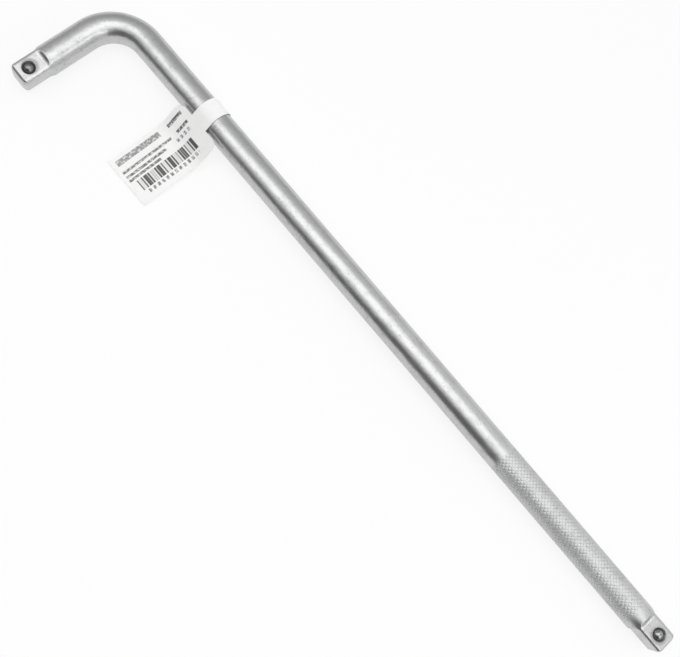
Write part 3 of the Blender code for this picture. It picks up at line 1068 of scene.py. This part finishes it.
def bare_steel(name, steel, roughness, mark_spacing, mark_length):
    """Steel with darker patches and fine marks."""
    material, tree, shader = new_material(name)
    where = put(tree, "ShaderNodeTexCoord").outputs["Object"]
    sizes = {"Mark Spacing": mark_spacing, "Mark Length": mark_length, "Patch Size": STEEL_PATCH}
    grain = use_group(tree, grain_group, {"Vector": where, **sizes})
    darker = tuple(PATCH_DARKNESS * value for value in steel[:3]) + (1,)
    colour = mix(tree, grain["Patches"], steel, darker)
    rough = add_shares(tree, roughness, (grain["Grain"], STEEL_GRAIN_ROUGHNESS))
    plug(tree, shader, {"Base Color": colour, "Metallic": 1.0, "Roughness": rough})
    return material


bearing = bare_steel("bearing_steel_fine", BALL_STEEL, BALL_ROUGHNESS, *BALL_MARKS)
# Painted shade: the short arm's ball gets the darker copy of the ball steel.
shaded_bearing = bare_steel("shaded_bearing_steel", SHADED_BALL_STEEL, SHORT_BALL_ROUGHNESS, *BALL_MARKS)
wire = bare_steel("spring_wire", WIRE_STEEL, WIRE_ROUGHNESS, *WIRE_MARKS)
print(bearing.name, shaded_bearing.name, "and", wire.name, "made")

# %% [markdown]
# ## Coated paper
#
# The tag is white coated paper: smooth, slightly glossy, with faint fibres. The fibres are a node group,
# because the printed and the bare paper share them.

# %% Node group for paper fibres
FIBRE_CURL = 1.5
FIBRES_PER_MOTTLE = 14.0
MOTTLE_LEVELS = (0.3, 0.7)

sizes = {"Vector": None, "Fibre Size": 0.6 * MM}
tree, given = new_group("paper_fibre", sizes)
dense = sums(tree, "DIVIDE", 1.0, given["Fibre Size"])
fibres = noise(tree, given["Vector"], dense, 4.0, FIBRE_CURL)
sparse = sums(tree, "DIVIDE", dense, FIBRES_PER_MOTTLE)
mottle = ramp(tree, noise(tree, given["Vector"], sparse, 2.0), *MOTTLE_LEVELS)
fibre_group = close_group(tree, {"Fibre": fibres, "Mottle": mottle})

# %% Bare paper
PAPER_WHITE = (0.92, 0.92, 0.915, 1)
PAPER_SHADE = (0.85, 0.85, 0.845, 1)
PAPER_SCRATCH = 12 * MM
FIBRE_TONE = 0.3
MOTTLE_TONE = 0.25
SMUDGE_TONE = 0.3
PAPER_ROUGHNESS = 0.42
FIBRE_ROUGHNESS = 0.2
RUBBED_ROUGHNESS = 0.15
FIBRE_HEIGHT = 0.04 * MM
FIBRE_STRENGTH = 0.2


def make_paper(name):
    """A paper material, its nodes, its shader and its colour before printing."""
    material, tree, shader = new_material(name)
    where = put(tree, "ShaderNodeTexCoord").outputs["Object"]
    paper = use_group(tree, fibre_group, {"Vector": where})
    marks = use_group(tree, marks_group, {"Vector": where, "Scratch Length": PAPER_SCRATCH})
    tone = sums(tree, "MULTIPLY", paper["Mottle"], MOTTLE_TONE)
    tone = add_shares(tree, tone, (paper["Fibre"], FIBRE_TONE), (marks["Smudges"], SMUDGE_TONE))
    colour = mix(tree, tone, PAPER_WHITE, PAPER_SHADE)
    causes = ((paper["Fibre"], FIBRE_ROUGHNESS), (marks["Scratches"], RUBBED_ROUGHNESS))
    rough = add_shares(tree, PAPER_ROUGHNESS, *causes)
    relief = {"Strength": FIBRE_STRENGTH, "Distance": FIBRE_HEIGHT, "Height": paper["Fibre"]}
    bump = put(tree, "ShaderNodeBump", relief)
    plug(tree, shader, {"Base Color": colour, "Roughness": rough, "Normal": bump.outputs["Normal"]})
    return material, tree, shader, colour


paper_bare = make_paper("coated_paper")[0]
print(paper_bare.name, "has", len(paper_bare.node_tree.nodes), "nodes")

# %% [markdown]
# The print is generic: rows of small blots, one of them wide, and a block of stripes. Sizes are in
# millimetres across the leaf and along it from the shoulder. Each row is a soft band across times a
# soft band along, and a noise breaks it into blots, which a sine sets apart in the spaced rows. The
# stripes come from the sum of three sines, which gives stripes of uneven width.

# %% Places of the print: left, right, near and far edge, and the darkness of a row
PRINTED_ROWS = [
    (-12.5, -10.5, 3.5, 15.0, 0.9),
    (-6.4, -4.7, 4.0, 13.0, 0.95),
    (-13.2, -9.8, 21.0, 49.5, 0.7),
    (-6.3, -4.8, 17.5, 50.0, 0.8),
    (-3.2, -1.7, 23.5, 50.0, 0.85),
    (-0.7, 0.8, 29.0, 50.0, 0.85),
]
SPACED_ROWS = [
    (-3.0, -1.0, 4.5, 16.5, 0.8),
    (9.5, 11.7, 10.0, 46.0, 0.8),
]
STRIPES = (1.9, 8.7, 8.5, 47.0)
PRINT_EDGE = 0.3

paper_printed, tree, shader, white = make_paper("printed_paper")
pattern_uv = put(tree, "ShaderNodeUVMap", uv_map="pattern").outputs["UV"]
flat = put(tree, "ShaderNodeSeparateXYZ", {"Vector": pattern_uv}).outputs
across_leaf = sums(tree, "MULTIPLY_ADD", flat["X"], 2 * LEAF_HALF / MM, -LEAF_HALF / MM)
along_leaf = sums(tree, "MULTIPLY", flat["Y"], UPPER_SHOULDER / MM)


def block(left, right, near, far):
    """Ink in a rectangle of the leaf."""
    across = band(tree, across_leaf, left, right, PRINT_EDGE)
    return sums(tree, "MULTIPLY", across, band(tree, along_leaf, near, far, PRINT_EDGE))


print(f"{len(PRINTED_ROWS) + len(SPACED_ROWS)} rows of blots and a block of stripes")

# %% Print the blots and the stripes
INK = (0.03, 0.03, 0.032, 1)
BLOTS_PER_MM = 0.7
BLOT_LEVELS = (0.3, 0.6, 0.35, 1.0)
SPACED_WAVE = 2.9
SPACED_LEVELS = (-0.6, 0.4)
STRIPE_WAVES = (7.9, 2.3, 1.45)
STRIPE_LEVELS = (-1.2, 1.2, 0.15, 0.95)

in_mm = put(tree, "ShaderNodeCombineXYZ", {"X": across_leaf, "Y": along_leaf}).outputs[0]
blots = ramp(tree, noise(tree, in_mm, BLOTS_PER_MM, 1.0), *BLOT_LEVELS)


def wave(length):
    """A sine along the leaf."""
    return sums(tree, "SINE", sums(tree, "MULTIPLY", along_leaf, math.tau / length))


long_wave, middle_wave, short_wave = [wave(length) for length in STRIPE_WAVES]
all_waves = sums(tree, "ADD", sums(tree, "ADD", long_wave, middle_wave), short_wave)
ink = sums(tree, "MULTIPLY", block(*STRIPES), ramp(tree, all_waves, *STRIPE_LEVELS))
spaced = sums(tree, "MULTIPLY", blots, ramp(tree, wave(SPACED_WAVE), *SPACED_LEVELS))
for rows_of_print, pieces in ((PRINTED_ROWS, blots), (SPACED_ROWS, spaced)):
    for *limits, darkness in rows_of_print:
        row = sums(tree, "MULTIPLY", sums(tree, "MULTIPLY", block(*limits), pieces), darkness)
        ink = sums(tree, "MAXIMUM", ink, row)
plug(tree, shader, {"Base Color": mix(tree, ink, white, INK)})
print(paper_printed.name, "has", len(tree.nodes), "nodes")

# %% [markdown]
# ## Putting the pieces on the frame
#
# Each visible piece takes the place of its CAD node and rides on the same body, and each spring gets a
# mesh of its own.

# %% Assign materials and bodies
for piece, body, node, slot, finishes in (
    (bar, "handle", "l_bar", "chrome_plate", [chrome]),
    (short_ball, "short_ball", "short_drive_ball", "bearing_steel", [shaded_bearing]),
    (long_ball, "long_ball", "long_drive_ball", "bearing_steel", [bearing]),
    (short_spring, "handle", "short_drive_spring", "spring_steel", [wire]),
    (long_spring, "handle", "long_drive_spring", "spring_steel", [wire]),
    (tag, "handle", "hang_tag", "white_paper", [paper_bare, paper_printed]),
):
    for finish in finishes:
        piece.data.materials.append(finish)
    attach(piece, body)
    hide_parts(node)
    print(piece.name, "rides on", body, "in place of", node)

for piece, joint, seat, top in (
    (short_spring, "short_ball_press", SHORT_SEAT, SHORT_TOP),
    (long_spring, "long_ball_press", LONG_SEAT, LONG_TOP),
):
    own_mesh(piece)

# %% [markdown]
# ## Table, light and camera
#
# The tool lies on a white table under soft lamps, in a room that is dark on one side. Polished metal is
# mostly a picture of its surroundings, so the dark side gives the bar its dark stripe, and the lamps
# its white one. The table is white to the camera and in the metal alike, and keeps a faint shadow of
# the tool.

# %% White table
TABLE_SIZE = 40.0
TABLE_DROP = 0.2 * MM
TABLE_GLOW = 0.82
TABLE_WHITE = (0.9, 0.9, 0.9, 1)

table_mesh = bmesh.new()
corners = []
for x, y in ((-1, -1), (1, -1), (1, 1), (-1, 1)):
    corners.append(table_mesh.verts.new((x * TABLE_SIZE, y * TABLE_SIZE, -TABLE_DROP)))
table_mesh.faces.new(corners)
table = make_piece("table", table_mesh)
table_white, tree, shader = new_material("table_white")
tree.nodes.remove(shader)
rays = put(tree, "ShaderNodeLightPath").outputs
seen = sums(tree, "MAXIMUM", rays["Is Camera Ray"], rays["Is Glossy Ray"])
seen = sums(tree, "MAXIMUM", seen, rays["Is Transmission Ray"])
matt = put(tree, "ShaderNodeBsdfDiffuse", {"Color": TABLE_WHITE}).outputs[0]
glow = put(tree, "ShaderNodeEmission", {"Strength": 1.0}).outputs[0]
share = sums(tree, "MULTIPLY", seen, TABLE_GLOW)
mixed = put(tree, "ShaderNodeMixShader", {"Fac": share, 1: matt, 2: glow}).outputs[0]
plug(tree, tree.nodes["Material Output"], {"Surface": mixed})
table.data.materials.append(table_white)
table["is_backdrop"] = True
print(f"the table is {2 * TABLE_SIZE:.0f} m wide")

# %% The room: dark on one side, and less bright towards one corner
DARK_WAY = (0.026, -1.0, 0)
DARK_EDGE = (0.37, 0.52)
ROOM_DARK = 0.127
ROOM_WALLS = 0.78
ROOM_DIM = 0.51
DIM_CORNER = (-0.8, 0.6, 0)
DIM_EDGE = (0.5, 0.78)

room = bpy.data.worlds.new("room")
bpy.context.scene.world = room
room.use_nodes = True
tree = room.node_tree
facing = put(tree, "ShaderNodeTexCoord").outputs["Generated"]
darkness = vectors(tree, "DOT_PRODUCT", facing, DARK_WAY, "Value")
dimness = vectors(tree, "DOT_PRODUCT", facing, DIM_CORNER, "Value")
walls = ramp(tree, dimness, *DIM_EDGE, ROOM_WALLS, ROOM_DIM)
in_dark = {"Factor": ramp(tree, darkness, *DARK_EDGE), "A": walls, "B": ROOM_DARK}
level = put(tree, "ShaderNodeMix", in_dark).outputs["Result"]
plug(tree, tree.nodes["Background"], {"Color": level, "Strength": 1.0})
print(f"the room's walls are {ROOM_WALLS}, its dim corner {ROOM_DIM} and its dark side {ROOM_DARK}")

# %% Soft lamps overhead: a long one with a brighter strip, one to the right and a weak one at the back
LAMP_TURN = 0.750
# Left, right, near and far edge and height in metres, brightness compared with white, and turn.
LAMPS = {
    "long_lamp": (-2.058, 0.567, -0.652, 0.457, 0.90, 0.572, LAMP_TURN),
    "bright_strip": (-1.142, 0.488, -0.223, 0.322, 0.89, 0.531, LAMP_TURN),
    "right_lamp": (0.843, 1.493, -0.635, 0.489, 0.90, 1.801, 0.0),
    "back_lamp": (-0.06, 1.2, 0.55, 3.5, 0.91, 0.2, 0.0),
}

for name, (left, right, near, far, height, level, turn) in LAMPS.items():
    data = bpy.data.lights.new(name, "AREA")
    data.shape = "RECTANGLE"
    data.size = right - left
    data.size_y = far - near
    data.energy = level * math.pi * data.size * data.size_y
    made = add_object(name, data)
    middle = Vector(((left + right) / 2, (near + far) / 2, height))
    made.location = Matrix.Rotation(turn, 3, "Z") @ middle
    made.rotation_euler = (0, 0, turn)
    print(f"{name}: {data.size:.2f} by {data.size_y:.2f} m, {data.energy:.1f} W")

# %% [markdown]
# The camera stands almost above the tool. Its place and turn were fitted to the outline of the bar in
# the photograph, and the lens belongs to a picture 680 by 657 pixels in size.

# %% Camera
CAMERA_PLACE = Vector((0.019988, -0.104471, 0.437456))
CAMERA_RIGHT = Vector((0.64701, 0.74668, 0.15444))
CAMERA_BACK = Vector((0.06066, -0.25232, 0.96574))
LENS = 44.688
SENSOR_WIDTH = 36.0
NEAREST = 10 * MM

camera_data = bpy.data.cameras.new("camera")
camera_data.sensor_width = SENSOR_WIDTH
camera_data.lens = LENS
camera_data.clip_start = NEAREST
camera = add_object("camera", camera_data)
back = CAMERA_BACK.normalized()
right = (CAMERA_RIGHT - CAMERA_RIGHT.dot(back) * back).normalized()
turn = Matrix((right, back.cross(right), back)).transposed().to_4x4()
camera.matrix_world = Matrix.Translation(CAMERA_PLACE) @ turn
bpy.context.scene.camera = camera
bpy.context.scene.view_settings.view_transform = "Standard"
print(f"the camera stands {CAMERA_PLACE.z:.3f} m above the table")

# %% Measure the visible model's box, and finish
low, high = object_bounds()
sizes = {"cad": [list(cad_low), list(cad_high)], "visual": [list(low), list(high)]}
print("visual box in mm:", [round(1000 * value, 1) for value in high - low])
